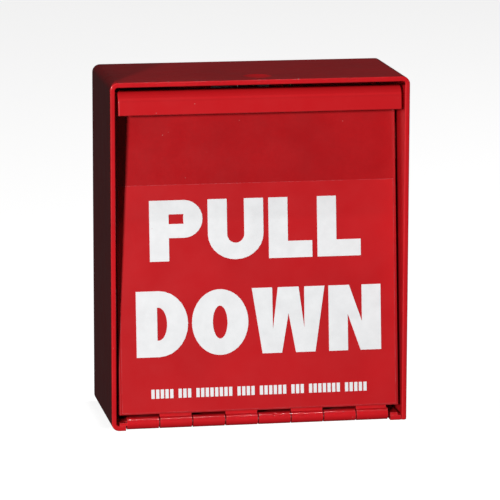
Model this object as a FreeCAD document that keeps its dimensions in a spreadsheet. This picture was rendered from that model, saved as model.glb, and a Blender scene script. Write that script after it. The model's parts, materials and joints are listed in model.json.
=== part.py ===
import FreeCAD, Part
import math
import os

import Sketcher
from FreeCAD import Rotation, Vector

# A surface-mounted steel lock box with a drop-down door.
# The frame: +X to the right, +Z up, -Y out of the wall towards the user.
# The origin is the centre of the back face, which lies against the wall.
# The door hangs on a continuous hinge along the bottom front edge and leans back as it rises.
# Behind it a padlocked lever holds down a snap-action switch.

DIMENSIONS = {
    # the case
    "width": 114.3,
    "height": 133.35,
    "depth": 50.8,
    "case_gauge": 1.9,
    "case_bend": 1.1,
    "butt_corner": 0.7,
    "seam": 0.3,
    "rim_round": 0.45,
    "weld_leg": 3.0,
    "tack_length": 12.0,
    "weep_hole": 5.0,
    # the dimple that holds the door's top edge
    "dimple_width": 11.6,
    "dimple_drop": 0.9,
    "dimple_setback": 9.0,
    # the way to the wall
    "mount_side_inset": 19.05,
    "mount_end_inset": 15.875,
    "mount_hole": 7.1,
    "entry_hole": 22.2,
    "entry_bore": 16.0,
    "entry_flange": 2.4,
    "entry_flange_depth": 1.5,
    "entry_drop": 38.0,
    # the continuous hinge
    "hinge_pin_diameter": 2.3,
    "pin_play": 0.05,
    "hinge_gauge": 1.1,
    "hinge_reach": 14.0,
    "hinge_relief": 0.4,
    "knuckle_pitch": 12.7,
    "knuckle_play": 0.5,
    "knuckle_lead": 2.6,
    "end_tab": 2.6,
    "end_inset": 0.375,
    "end_gap": 1.0,
    "tab_setback": 0.5,
    "crimp_depth": 0.4,
    "crimp_radius": 1.1,
    # the door
    "side_gap": 1.2,
    "top_gap": 1.3,
    "door_gauge": 1.5,
    "door_tilt": 6.0,
    "door_bend": 2.6,
    "door_edge_round": 0.4,
    "door_lift": 0.1,
    "lip_height": 9.35,
    "decal_film": 0.15,
    "decal_margin": 1.0,
    "decal_lift": 0.5,
    "decal_height": 86.5,
    # the stops that the door leans on
    "stop_drop": 24.775,
    "stop_width": 10.0,
    "stop_height": 14.0,
    "bumper_diameter": 7.0,
    "bumper_depth": 2.0,
    "bumper_gap": 0.1,
    # the lock bracket
    "bracket_gauge": 2.5,
    "bracket_gap": 18.0,
    "bracket_bend": 0.5,
    "bracket_headroom": 2.275,
    "ear_wall": 5.25,
    "flange_rise": 7.0,
    "flange_drop": 9.5,
    "stud_inset": 4.6,
    "stud_diameter": 5.0,
    "stud_head": 7.0,
    "stud_length": 9.0,
    "washer_diameter": 9.0,
    "washer_gauge": 0.9,
    "nut_flats": 8.0,
    "nut_height": 3.8,
    "ground_side": 34.0,
    "ground_rise": 18.0,
    # the lever and its shaft
    "pivot_reach": 12.1,
    "shaft_diameter": 6.0,
    "bush_wall": 1.0,
    "bush_flange": 1.6,
    "bush_flange_depth": 1.0,
    "shaft_play": 0.05,
    "end_play": 0.2,
    "lever_gauge": 3.0,
    "lever_clearance": 1.4,
    "lever_travel": 20.0,
    "lever_round": 2.0,
    "hub_half": 5.5,
    "hub_foot": 2.0,
    "arm_shoulder": 7.7,
    "heel_gap": 0.3,
    "heel_height": 9.6,
    "shackle_hole": 10.5,
    "shackle_reach": 8.0,
    "shackle_drop": 22.0,
    "boss_margin": 4.0,
    "boss_flat": 6.0,
    "handle_taper": 2.0,
    "handle_length": 44.0,
    "handle_width": 8.0,
    "grip_wall": 1.1,
    "grip_round": 0.99,
    "stop_rod_diameter": 3.5,
    "stop_rod_drop": 10.0,
    "stop_gap": 0.2,
    "rod_overhang": 0.5,
    "spacer_wall": 1.2,
    "ring_gauge": 0.8,
    "ring_rim": 1.8,
    "ring_inset": 1.6,
    # the return spring
    "wire_diameter": 1.0,
    "spring_gap": 0.7,
    "coil_gap": 0.15,
    "spring_clearance": 0.8,
    "spring_leg": 12.0,
    "spring_hole_play": 0.15,
    # the switch
    "switch_length": 27.8,
    "switch_height": 15.9,
    "switch_width": 10.3,
    "cover_gauge": 1.4,
    "switch_rise": 8.0,
    "switch_setback": 1.7,
    "switch_headroom": 1.6,
    "switch_screw": 3.0,
    "screw_play": 0.1,
    "screw_head": 5.6,
    "screw_head_height": 2.0,
    "screw_spacing": 22.2,
    "screw_inset": 2.9,
    "screw_slot": 0.8,
    "screw_end": 0.8,
    "small_nut_flats": 5.5,
    "small_nut_height": 2.4,
    "blade_width": 4.75,
    "blade_gauge": 0.5,
    "blade_length": 7.0,
    "blade_spacing": 9.5,
    "leaf_width": 4.0,
    "leaf_gauge": 0.5,
    "leaf_gap": 0.6,
    "leaf_inset": 2.5,
    "leaf_overhang": 1.6,
    "leaf_pin_diameter": 1.0,
    "leaf_eye_wall": 0.55,
    "lug_gauge": 0.7,
    "lug_play": 0.15,
    "plunger_diameter": 3.0,
    "plunger_reach": 12.0,
    "plunger_depth": 5.0,
    "plunger_well": 2.0,
    "plunger_gap": 0.05,
    # the cam on the shaft
    "cam_width": 4.4,
    "cam_hub": 10.0,
    "cam_root": 0.8,
    "cam_tip": 3.0,
    "cam_reach": 7.0,
    "cam_gap": 0.1,
}
TACKS = 3
SPRING_COILS = 6
# How far a cutting tool runs past what it cuts.
OVER = 1.0

doc = FreeCAD.newDocument("LockBox")
sheet = doc.addObject("Spreadsheet::Sheet", "Sheet")


class Size:
    """A length or angle: its value now, and the sheet expression that gives it."""

    def __init__(self, value, text):
        self.value = float(value)
        self.text = text

    def __add__(self, other):
        other = as_size(other)
        return Size(self.value + other.value, f"({self.text} + {other.text})")

    def __sub__(self, other):
        other = as_size(other)
        return Size(self.value - other.value, f"({self.text} - {other.text})")

    def __mul__(self, other):
        other = as_size(other)
        return Size(self.value * other.value, f"({self.text} * {other.text})")

    def __truediv__(self, other):
        other = as_size(other)
        return Size(self.value / other.value, f"({self.text} / {other.text})")

    def __neg__(self):
        return Size(-self.value, f"(0 - {self.text})")

    def __radd__(self, other):
        return as_size(other) + self

    def __rsub__(self, other):
        return as_size(other) - self

    def __rmul__(self, other):
        return as_size(other) * self


def as_size(item):
    return item if isinstance(item, Size) else Size(item, f"{float(item):.6f}")


def sine(angle):
    return Size(math.sin(math.radians(angle.value)), f"sin({angle.text})")


def cosine(angle):
    return Size(math.cos(math.radians(angle.value)), f"cos({angle.text})")


def diagonal(across, down):
    """The distance from one corner of a rectangle to the opposite one."""
    square = across * across + down * down
    return Size(math.sqrt(square.value), f"sqrt({square.text})")


def fill_sheet():
    cells = {}
    for row, (alias, value) in enumerate(DIMENSIONS.items(), start=1):
        sheet.set(f"A{row}", alias)
        sheet.set(f"B{row}", str(value))
        sheet.setAlias(f"B{row}", alias)
        cells[alias] = Size(value, f"Sheet.{alias}")
    doc.recompute()
    return cells


S = fill_sheet()
NODES = {}


# ---- drawing helpers ----

def node(item, label):
    """Name a finished sub-part; its label names its file."""
    item.Label = label
    NODES[label] = item
    return item


def bind(item, path, size):
    item.setExpression(path, as_size(size).text)


def place(item, x=0, y=0, z=0):
    for axis, size in zip("xyz", (x, y, z)):
        bind(item, f".Placement.Base.{axis}", size)


def turn(item, axis, angle):
    """Turn an item about a unit axis by a positive angle bound to the sheet."""
    item.Placement.Rotation = Rotation(axis, as_size(angle).value)
    bind(item, ".Placement.Rotation.Angle", angle)


def block(name, low, high):
    """A box between two corners."""
    item = doc.addObject("Part::Box", name)
    for path, start, end in zip(("Length", "Width", "Height"), low, high):
        bind(item, path, as_size(end) - as_size(start))
    place(item, *low)
    return item


ALONG = {"x": Rotation(Vector(0, 1, 0), 90), "y": Rotation(Vector(1, 0, 0), -90), "z": Rotation()}


def rod(name, axis, start, radius, length):
    """A cylinder from a start point along +X, +Y or +Z."""
    item = doc.addObject("Part::Cylinder", name)
    bind(item, "Radius", radius)
    bind(item, "Height", length)
    item.Placement.Rotation = ALONG[axis]
    place(item, *start)
    return item


def hexagon(name, axis, start, flats, length):
    item = doc.addObject("Part::Prism", name)
    item.Polygon = 6
    bind(item, "Circumradius", as_size(flats) / math.sqrt(3))
    bind(item, "Height", length)
    item.Placement.Rotation = ALONG[axis]
    place(item, *start)
    return item


def ball(name, centre, radius):
    item = doc.addObject("Part::Sphere", name)
    bind(item, "Radius", radius)
    place(item, *centre)
    return item


def fuse(name, pieces):
    item = doc.addObject("Part::MultiFuse", name)
    item.Shapes = pieces
    item.Refine = True
    return item


def group(name, pieces):
    """Separate solids of one node, such as identical fasteners."""
    item = doc.addObject("Part::Compound", name)
    item.Links = pieces
    return item


def cut(name, base, tool):
    item = doc.addObject("Part::Cut", name)
    item.Base = base
    item.Tool = tool
    item.Refine = True
    return item


def common(name, first, second):
    item = doc.addObject("Part::Common", name)
    item.Base = first
    item.Tool = second
    return item


def drill(name, base, tools):
    return cut(name, base, group(f"{name}_tools", tools))


def outline(body, name, plane, points):
    """A closed outline of straight edges whose corners are bound to the sheet."""
    sketch = body.newObject("Sketcher::SketchObject", name)
    planes = [part for part in body.Origin.OriginFeatures if part.Role == plane]
    sketch.AttachmentSupport = [(planes[0], "")]
    sketch.MapMode = "FlatFace"
    corners = [(as_size(x), as_size(y)) for x, y in points]
    count = len(corners)
    for index in range(count):
        ends = [Vector(x.value, y.value, 0) for x, y in (corners[index], corners[(index + 1) % count])]
        sketch.addGeometry(Part.LineSegment(*ends), False)
    for index in range(count):
        sketch.addConstraint(Sketcher.Constraint("Coincident", index, 2, (index + 1) % count, 1))
    for index, corner in enumerate(corners):
        for kind, axis, size in (("DistanceX", -2, corner[0]), ("DistanceY", -1, corner[1])):
            if size.value == 0:
                sketch.addConstraint(Sketcher.Constraint("PointOnObject", index, 1, axis))
            else:
                rule = Sketcher.Constraint(kind, -1, 1, index, 1, size.value)
                number = sketch.addConstraint(rule)
                bind(sketch, f"Constraints[{number}]", size)
    return sketch


def circle(body, name, plane, centre, radius):
    """A sketched circle, its centre and radius bound to the sheet."""
    sketch = body.newObject("Sketcher::SketchObject", name)
    planes = [part for part in body.Origin.OriginFeatures if part.Role == plane]
    sketch.AttachmentSupport = [(planes[0], "")]
    sketch.MapMode = "FlatFace"
    x, y, radius = (as_size(size) for size in (*centre, radius))
    sketch.addGeometry(Part.Circle(Vector(x.value, y.value, 0), Vector(0, 0, 1), radius.value), False)
    rules = [("Radius", (0,), radius)]
    for kind, axis, size in (("DistanceX", -2, x), ("DistanceY", -1, y)):
        if size.value == 0:
            sketch.addConstraint(Sketcher.Constraint("PointOnObject", 0, 3, axis))
        else:
            rules.append((kind, (-1, 1, 0, 3), size))
    for kind, where, size in rules:
        number = sketch.addConstraint(Sketcher.Constraint(kind, *where, size.value))
        bind(sketch, f"Constraints[{number}]", size)
    return sketch


def pad(body, name, sketch, length, both_ways=False):
    item = body.newObject("PartDesign::Pad", name)
    item.Profile = sketch
    item.Midplane = both_ways
    bind(item, "Length", length)
    return item


def pocket_through(body, name, sketch):
    """Cut a sketch through the whole body, both ways from its plane."""
    before = solid_volume(body)
    item = body.newObject("PartDesign::Pocket", name)
    item.Profile = sketch
    item.Type = "ThroughAll"
    item.Midplane = True
    if solid_volume(body) >= before:
        raise RuntimeError(f"{name} removes nothing")
    return item


def solid_volume(body):
    doc.recompute()
    return body.Shape.Volume


def round_edges(body, name, radius, points):
    """Fillet the edges that pass through the given points of the body's own frame."""
    doc.recompute()
    base = body.Tip
    names = []
    for point in points:
        spot = Part.Vertex(Vector(*[as_size(size).value for size in point]))
        near = [i for i, edge in enumerate(base.Shape.Edges, start=1) if edge.distToShape(spot)[0] < 1e-4]
        if not near:
            raise RuntimeError(f"{name}: no edge at {point}")
        names.append(f"Edge{near[0]}")
    item = body.newObject("PartDesign::Fillet", name)
    item.Base = (base, names)
    bind(item, "Radius", radius)
    return item


# ---- places worked out from the sheet ----

HALF_WIDTH = S["width"] / 2
HALF_HEIGHT = S["height"] / 2
INNER_X = HALF_WIDTH - S["case_gauge"]
INNER_Z = HALF_HEIGHT - S["case_gauge"]
FRONT = -S["depth"]
PANEL_FACE = -S["case_gauge"]

PIN_RADIUS = S["hinge_pin_diameter"] / 2
KNUCKLE_BORE = PIN_RADIUS + S["pin_play"]
KNUCKLE_RADIUS = KNUCKLE_BORE + S["hinge_gauge"]
HINGE_Y = FRONT + KNUCKLE_RADIUS
HINGE_Z = -INNER_Z + S["hinge_gauge"] / 2

DOOR_HALF = INNER_X - S["side_gap"]
CASE_CORNER = S["case_gauge"] + S["case_bend"]
DOOR_CORNER = S["door_gauge"] + S["door_bend"]
CHANNEL_CORNER = S["bracket_gauge"] + S["bracket_bend"]
TILT = S["door_tilt"]
DOOR_BACK = -S["hinge_gauge"] / 2
DOOR_FACE = DOOR_BACK - S["door_gauge"]
# The door's lower edge swings round the case's bottom front edge.
DOOR_BOTTOM = diagonal(KNUCKLE_RADIUS, S["hinge_gauge"] / 2 + S["case_gauge"]) + S["door_lift"]

# The lip's lower front edge lies in the front plane, and the shelf's front edge stays one
# top gap under the case: two equations in the door's own tilted frame.
RISE = INNER_Z - S["top_gap"] - HINGE_Z
LIP_FACE = ((FRONT - HINGE_Y) * cosine(TILT) - (RISE * sine(TILT))
            + S["lip_height"] * sine(TILT) * cosine(TILT))
DOOR_TOP = (RISE + LIP_FACE * sine(TILT)) / cosine(TILT)

# The bracket hangs from the top down: its flange, the ears under it, the switch, the pivot.
BRACKET_TOP = INNER_Z - S["bracket_headroom"]
EAR_TOP = BRACKET_TOP - S["flange_rise"]
SWITCH_TOP = EAR_TOP - S["switch_headroom"]
SWITCH_FACE = SWITCH_TOP - S["switch_height"]
PIVOT_Z = SWITCH_FACE - S["switch_rise"]
PIVOT_Y = PANEL_FACE - S["pivot_reach"]
SHACKLE = (PIVOT_Y - S["shackle_reach"], PIVOT_Z - S["shackle_drop"])
EAR_BOTTOM = SHACKLE[1] - S["shackle_hole"] / 2 - S["ear_wall"]
BRACKET_BOTTOM = EAR_BOTTOM - S["flange_drop"]

STACK_X = S["bracket_gap"] / 2
EAR_FACE = STACK_X + S["bracket_gauge"]
BRACKET_FACE = PANEL_FACE - S["bracket_gauge"]
SHAFT_RADIUS = S["shaft_diameter"] / 2
BUSH_RADIUS = SHAFT_RADIUS + S["shaft_play"] + S["bush_wall"]
LEVER_RIGHT = STACK_X - S["lever_clearance"]
LEVER_LEFT = LEVER_RIGHT - S["lever_gauge"]

SWITCH_LEFT = EAR_FACE
SWITCH_RIGHT = SWITCH_LEFT + S["switch_width"]
SWITCH_MIDDLE = (SWITCH_LEFT + SWITCH_RIGHT) / 2
# The switch sits in front of the bracket's base, and the ears end where it does.
SWITCH_BACK = BRACKET_FACE - S["switch_setback"]
SWITCH_FRONT = SWITCH_BACK - S["switch_length"]
EAR_FRONT = SWITCH_FRONT
SCREW_Z = SWITCH_TOP - S["screw_inset"]
SCREW_PLACES = [(SWITCH_FRONT + SWITCH_BACK) / 2 + S["screw_spacing"] / 2 * side for side in (-1, 1)]
LEAF_TOP = SWITCH_FACE - S["leaf_gap"]
LEAF_BOTTOM = LEAF_TOP - S["leaf_gauge"]
EYE_BORE = S["leaf_pin_diameter"] / 2 + S["pin_play"]
EYE_RADIUS = EYE_BORE + S["leaf_eye_wall"]
LEAF_PIVOT = (SWITCH_FRONT + S["leaf_inset"], LEAF_TOP - EYE_RADIUS)
COIL_RADIUS = SHAFT_RADIUS + S["spacer_wall"] + S["spring_clearance"] + S["wire_diameter"] / 2
STOP_ROD_RADIUS = S["stop_rod_diameter"] / 2
STOP_ROD = (PIVOT_Y + S["hub_half"] + S["stop_gap"] + STOP_ROD_RADIUS, PIVOT_Z - S["stop_rod_drop"])
SPRING_PITCH = S["wire_diameter"] + S["coil_gap"]
STUDS = [(0, BRACKET_TOP - S["stud_inset"]), (0, BRACKET_BOTTOM + S["stud_inset"]),
         (-S["ground_side"], S["ground_rise"])]


def knuckle_span(index):
    """The two ends of one knuckle along the pin, with its play."""
    start = -DOOR_HALF + S["knuckle_lead"] + S["knuckle_pitch"] * index + S["knuckle_play"] / 2
    return start, start + S["knuckle_pitch"] - S["knuckle_play"]


# As many whole knuckles as the door's width takes, with a tab of at least its least length.
HINGE_START = -DOOR_HALF
HINGE_END = DOOR_HALF - S["end_inset"]
KNUCKLE_ROOM = (HINGE_END - HINGE_START - S["knuckle_lead"] + S["knuckle_play"] / 2
                - S["end_gap"] - S["end_tab"])
KNUCKLES = int(KNUCKLE_ROOM.value // S["knuckle_pitch"].value)
CRIMPED_KNUCKLE = KNUCKLES // 4 * 2
SPANS = [knuckle_span(index) for index in range(KNUCKLES)]
PIN_START = SPANS[0][0]
PIN_END = SPANS[-1][1]
TAB_START = PIN_END + S["end_gap"]


def tilt_place(item, x, y, z, extra=0):
    """Set an item down at a point of the door's own frame, leaning with the door."""
    y, z = as_size(y), as_size(z)
    turn(item, Vector(-1, 0, 0), TILT + extra)
    place(item, x, HINGE_Y + y * cosine(TILT) + z * sine(TILT),
          HINGE_Z - y * sine(TILT) + z * cosine(TILT))


# ---- the case ----

def make_wrapper():
    """One strip bent round three corners, its end butted to the right wall at the fourth."""
    body = doc.addObject("PartDesign::Body", "WrapperBody")
    seam_x = INNER_X - S["seam"]
    ring = [(HALF_WIDTH, -HALF_HEIGHT), (HALF_WIDTH, HALF_HEIGHT), (-HALF_WIDTH, HALF_HEIGHT),
            (-HALF_WIDTH, -HALF_HEIGHT), (seam_x, -HALF_HEIGHT), (seam_x, -INNER_Z), (-INNER_X, -INNER_Z),
            (-INNER_X, INNER_Z), (INNER_X, INNER_Z), (INNER_X, -HALF_HEIGHT)]
    pad(body, "WrapperStrip", outline(body, "WrapperOutline", "XZ_Plane", ring), S["depth"])
    middle = FRONT / 2
    bent = [(-1, 1), (1, 1), (-1, -1)]
    outer = [(HALF_WIDTH * x, middle, HALF_HEIGHT * z) for x, z in bent]
    inner = [(INNER_X * x, middle, INNER_Z * z) for x, z in bent]
    round_edges(body, "OuterBends", CASE_CORNER, outer)
    round_edges(body, "InnerBends", S["case_bend"], inner)
    round_edges(body, "ButtCorner", S["butt_corner"], [(HALF_WIDTH, middle, -HALF_HEIGHT)])
    rim = [(HALF_WIDTH, FRONT, 0), (-INNER_X, FRONT, 0)]
    round_edges(body, "RimRound", S["rim_round"], rim)

    relief_back = HINGE_Y + KNUCKLE_RADIUS + S["hinge_relief"]
    relief = block("HingeRelief", (PIN_START - S["knuckle_play"], FRONT - OVER, -HALF_HEIGHT - OVER),
                   (PIN_END + S["end_gap"], relief_back, -INNER_Z + OVER))
    weep = rod("WeepHole", "z", (0, FRONT / 2, -HALF_HEIGHT - OVER), S["weep_hole"] / 2,
               S["case_gauge"] + OVER * 2)

    half = S["dimple_width"] / 2
    drop = S["dimple_drop"]
    press = (half * half + drop * drop) / (2 * drop)
    centre = (0, FRONT + S["dimple_setback"], HALF_HEIGHT - drop + press)
    hollow = ball("DimpleHollow", centre, press)
    under = block("DimpleSlab", (-half * 2, centre[1] - half * 2, INNER_Z - drop * 2),
                  (half * 2, centre[1] + half * 2, INNER_Z))
    bump = common("DimpleBump", ball("DimpleBall", centre, press + S["case_gauge"]), under)
    strip = fuse("WrapperStripAndBump", [body, bump])
    node(drill("Wrapper", strip, [relief, weep, hollow]), "box_wrapper")


def make_back_panel():
    body = doc.addObject("PartDesign::Body", "PanelBody")
    play = S["seam"] / 2
    x, z = INNER_X - play, INNER_Z - play
    corners = [(x, -z), (x, z), (-x, z), (-x, -z)]
    pad(body, "PanelSheet", outline(body, "PanelOutline", "XZ_Plane", corners), S["case_gauge"])
    bent = [(-1, 1), (1, 1), (-1, -1)]
    round_edges(body, "PanelCorners", S["case_bend"],
                [(x * i, PANEL_FACE / 2, z * j) for i, j in bent])
    for i in (-1, 1):
        for j in (-1, 1):
            name = f"MountHole{'LR'[i > 0]}{'BT'[j > 0]}"
            spot = ((HALF_WIDTH - S["mount_side_inset"]) * i, (HALF_HEIGHT - S["mount_end_inset"]) * j)
            hole = circle(body, f"{name}Sketch", "XZ_Plane", spot, S["mount_hole"] / 2)
            pocket_through(body, name, hole)
    entry = circle(body, "EntrySketch", "XZ_Plane", (0, -S["entry_drop"]), S["entry_hole"] / 2)
    pocket_through(body, "EntryHole", entry)
    for index, spot in enumerate(STUDS):
        hole = circle(body, f"StudSketch{index}", "XZ_Plane", spot, S["stud_head"] / 2)
        pocket_through(body, f"StudHole{index}", hole)
    node(body, "back_panel")


def bead(name, corner, length, turned):
    """A triangular weld bead in an inner corner, running along +Y or +Z."""
    body = doc.addObject("PartDesign::Body", f"{name}Body")
    leg = S["weld_leg"]
    section = [(0, 0), (leg, 0), (0, leg)]
    pad(body, f"{name}Pad", outline(body, f"{name}Sketch", "XY_Plane", section), length)
    body.Placement.Rotation = turned
    place(body, *corner)
    return body


def make_welds():
    run = S["depth"] / 2
    corner = (INNER_X, PANEL_FACE - run, -INNER_Z)
    turned = Rotation(Vector(-1, 0, 0), Vector(0, 0, 1), Vector(0, 1, 0))
    node(bead("Seam", corner, run, turned), "seam_weld")

    tacks = []
    step = INNER_Z * 2 / (TACKS + 1)
    for side in (-1, 1):
        for index in range(TACKS):
            foot = -INNER_Z + step * (index + 1) - S["tack_length"] / 2
            facing = Rotation(Vector(-side, 0, 0), Vector(0, -1, 0), Vector(0, 0, side))
            start = foot if side > 0 else foot + S["tack_length"]
            tacks.append(bead(f"Tack{'LR'[side > 0]}{index}", (INNER_X * side, PANEL_FACE, start),
                              S["tack_length"], facing))
    node(group("Tacks", tacks), "back_tack_welds")


def make_wire_bushing():
    flange_radius = S["entry_hole"] / 2 + S["entry_flange"]
    spot = -S["entry_drop"]
    barrel = rod("EntryBarrel", "y", (0, PANEL_FACE, spot), S["entry_hole"] / 2, S["case_gauge"])
    flange = rod("EntryFlange", "y", (0, PANEL_FACE - S["entry_flange_depth"], spot), flange_radius,
                 S["entry_flange_depth"])
    bore = rod("EntryBore", "y", (0, PANEL_FACE - S["entry_flange_depth"] - OVER, spot),
               S["entry_bore"] / 2, S["case_gauge"] + S["entry_flange_depth"] + OVER * 2)
    node(cut("EntryBushing", fuse("EntryBody", [barrel, flange]), bore), "wire_bushing")


# ---- the hinge ----

def make_leaf(name, owned, gaps, reach, front_edge, crimps):
    """A hinge leaf: a flat strip and its share of the knuckles, bored for the pin.

    It is drawn standing up from the pin's axis, which is its own origin. The gaps are cut
    back to the given reach, where the other leaf's knuckles or the case's edge must pass."""
    half = S["hinge_gauge"] / 2
    play = S["knuckle_play"]
    strip = block(f"{name}Strip", (HINGE_START, -half, front_edge), (HINGE_END, half, S["hinge_reach"]))
    notches = [block(f"{name}Notch{index}", (start - play, -reach, -reach), (end + play, reach, reach))
               for index, (start, end) in enumerate(gaps)]
    notches.append(block(f"{name}Front", (PIN_START, -reach, -reach), (PIN_END, reach, 0)))
    rings = [rod(f"{name}Knuckle{index}", "x", (start, 0, 0), KNUCKLE_RADIUS, end - start)
             for index, (start, end) in enumerate(owned)]
    whole = fuse(f"{name}Whole", [drill(f"{name}Trimmed", strip, notches), *rings])
    bore = rod(f"{name}Bore", "x", (PIN_START - OVER, 0, 0), KNUCKLE_BORE, PIN_END - PIN_START + OVER * 2)
    return drill(f"{name}Leaf", whole, [bore, *crimps])


def make_hinge():
    middle = (SPANS[CRIMPED_KNUCKLE][0] + SPANS[CRIMPED_KNUCKLE][1]) / 2
    outward = (KNUCKLE_RADIUS + S["crimp_radius"] - S["crimp_depth"]) * math.sqrt(0.5)
    crimp = ball("Crimp", (middle, -outward, -outward), S["crimp_radius"])
    tab_edge = S["tab_setback"] - KNUCKLE_RADIUS
    slot = (PIN_END + S["knuckle_play"], TAB_START - S["knuckle_play"])
    clear = KNUCKLE_RADIUS + S["hinge_relief"]
    frame_leaf = make_leaf("Frame", SPANS[0::2], SPANS[1::2] + [slot], clear, tab_edge, [crimp])
    frame_leaf.Placement.Rotation = Rotation(Vector(1, 0, 0), -90)
    place(frame_leaf, 0, HINGE_Y, HINGE_Z)
    node(frame_leaf, "hinge_frame_leaf")

    lead = (HINGE_START - OVER, PIN_START)
    tail = (PIN_END, HINGE_END + OVER)
    door_leaf = make_leaf("Door", SPANS[1::2], SPANS[0::2] + [lead, tail], DOOR_BOTTOM, 0, [])
    tilt_place(door_leaf, 0, 0, 0)
    node(door_leaf, "hinge_door_leaf")
    node(rod("HingePin", "x", (PIN_START, HINGE_Y, HINGE_Z), PIN_RADIUS, PIN_END - PIN_START), "hinge_pin")


# ---- the door ----

def make_door():
    """A plate folded forward under the case's top and down again into a finger lip."""
    body = doc.addObject("PartDesign::Body", "DoorBody")
    gauge = S["door_gauge"]
    lip_back = LIP_FACE + gauge
    lip_end = DOOR_TOP - S["lip_height"]
    shelf = DOOR_TOP - gauge
    profile = [(DOOR_FACE, DOOR_BOTTOM), (DOOR_FACE, shelf), (lip_back, shelf), (lip_back, lip_end),
               (LIP_FACE, lip_end), (LIP_FACE, DOOR_TOP), (DOOR_BACK, DOOR_TOP), (DOOR_BACK, DOOR_BOTTOM)]
    pad(body, "DoorSheet", outline(body, "DoorProfile", "YZ_Plane", profile), DOOR_HALF * 2, True)
    round_edges(body, "DoorOuterBends", DOOR_CORNER, [(0, LIP_FACE, DOOR_TOP), (0, DOOR_BACK, DOOR_TOP)])
    round_edges(body, "DoorInnerBends", S["door_bend"], [(0, lip_back, shelf), (0, DOOR_FACE, shelf)])
    soft = [(0, LIP_FACE, lip_end), (0, lip_back, lip_end)]
    for side in (-1, 1):
        soft += [(DOOR_HALF * side, LIP_FACE, lip_end + gauge), (DOOR_HALF * side, DOOR_FACE, DOOR_TOP / 2)]
    round_edges(body, "DoorEdges", S["door_edge_round"], soft)
    tilt_place(body, 0, 0, 0)
    node(body, "door_plate")

    side = DOOR_HALF - S["decal_margin"]
    foot = DOOR_BOTTOM + S["decal_lift"]
    film = block("Film", (0, 0, 0), (side * 2, S["decal_film"], S["decal_height"]))
    tilt_place(film, -side, DOOR_FACE - S["decal_film"], foot)
    node(film, "door_decal")


def make_stops():
    """Tabs on the side walls, with rubber bumpers that the door leans on."""
    tabs, bumpers = [], []
    bumper_face = DOOR_BACK + S["bumper_gap"]
    tab_face = bumper_face + S["bumper_depth"]
    height = (INNER_Z - S["stop_drop"] - HINGE_Z) / cosine(TILT)
    radius = S["bumper_diameter"] / 2
    for side, name in ((-1, "L"), (1, "R")):
        tab = block(f"StopTab{name}", (0, 0, 0), (S["stop_width"], S["case_gauge"], S["stop_height"]))
        start = INNER_X - S["stop_width"] if side > 0 else -INNER_X
        tilt_place(tab, start, tab_face, height - S["stop_height"] / 2)
        tabs.append(tab)
        bumper = rod(f"Bumper{name}", "z", (0, 0, 0), radius, S["bumper_depth"])
        tilt_place(bumper, (INNER_X - S["stop_width"] / 2) * side, bumper_face, height, 90)
        bumpers.append(bumper)
    node(group("StopTabs", tabs), "door_stops")
    node(group("Bumpers", bumpers), "door_bumpers")


# ---- the lock bracket ----

def make_bracket():
    """A channel standing out of the back panel: a base and two ears."""
    body = doc.addObject("PartDesign::Body", "BracketBody")
    half = [(EAR_FACE, PANEL_FACE), (EAR_FACE, EAR_FRONT), (STACK_X, EAR_FRONT), (STACK_X, BRACKET_FACE)]
    channel = half + [(-x, y) for x, y in reversed(half)]
    sketch = outline(body, "ChannelOutline", "XY_Plane", channel)
    bind(sketch, ".AttachmentOffset.Base.z", BRACKET_BOTTOM)
    pad(body, "Channel", sketch, BRACKET_TOP - BRACKET_BOTTOM)
    outer = [(EAR_FACE * side, PANEL_FACE, PIVOT_Z) for side in (-1, 1)]
    inner = [(STACK_X * side, BRACKET_FACE, PIVOT_Z) for side in (-1, 1)]
    round_edges(body, "ChannelBends", CHANNEL_CORNER, outer)
    round_edges(body, "ChannelInside", S["bracket_bend"], inner)

    trims = []
    reach = S["width"]
    for name, low, high in (("Low", -S["height"], EAR_BOTTOM), ("High", EAR_TOP, S["height"])):
        trims.append(block(f"EarTrim{name}", (-reach, EAR_FRONT - OVER, low), (reach, BRACKET_FACE, high)))
    across = S["bracket_gap"] * 2
    trims.append(rod("ShaftHole", "x", (-S["bracket_gap"], PIVOT_Y, PIVOT_Z), BUSH_RADIUS, across))
    trims.append(rod("ShackleHole", "x", (0, *SHACKLE), S["shackle_hole"] / 2, across))
    trims.append(rod("RodHole", "x", (-S["bracket_gap"], *STOP_ROD), STOP_ROD_RADIUS, across))
    for index, y in enumerate(SCREW_PLACES):
        radius = S["switch_screw"] / 2 + S["screw_play"]
        trims.append(rod(f"SwitchHole{index}", "x", (0, y, SCREW_Z), radius, across))
    for index, (x, z) in enumerate(STUDS[:2]):
        trims.append(rod(f"StudWay{index}", "y", (x, BRACKET_FACE - OVER, z), S["stud_diameter"] / 2,
                         S["bracket_gauge"] + OVER * 2))
    node(drill("Bracket", body, trims), "lock_bracket")

    end = EAR_FACE + S["rod_overhang"]
    node(rod("StopRod", "x", (-end, *STOP_ROD), STOP_ROD_RADIUS, end * 2), "stop_rod")


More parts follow.
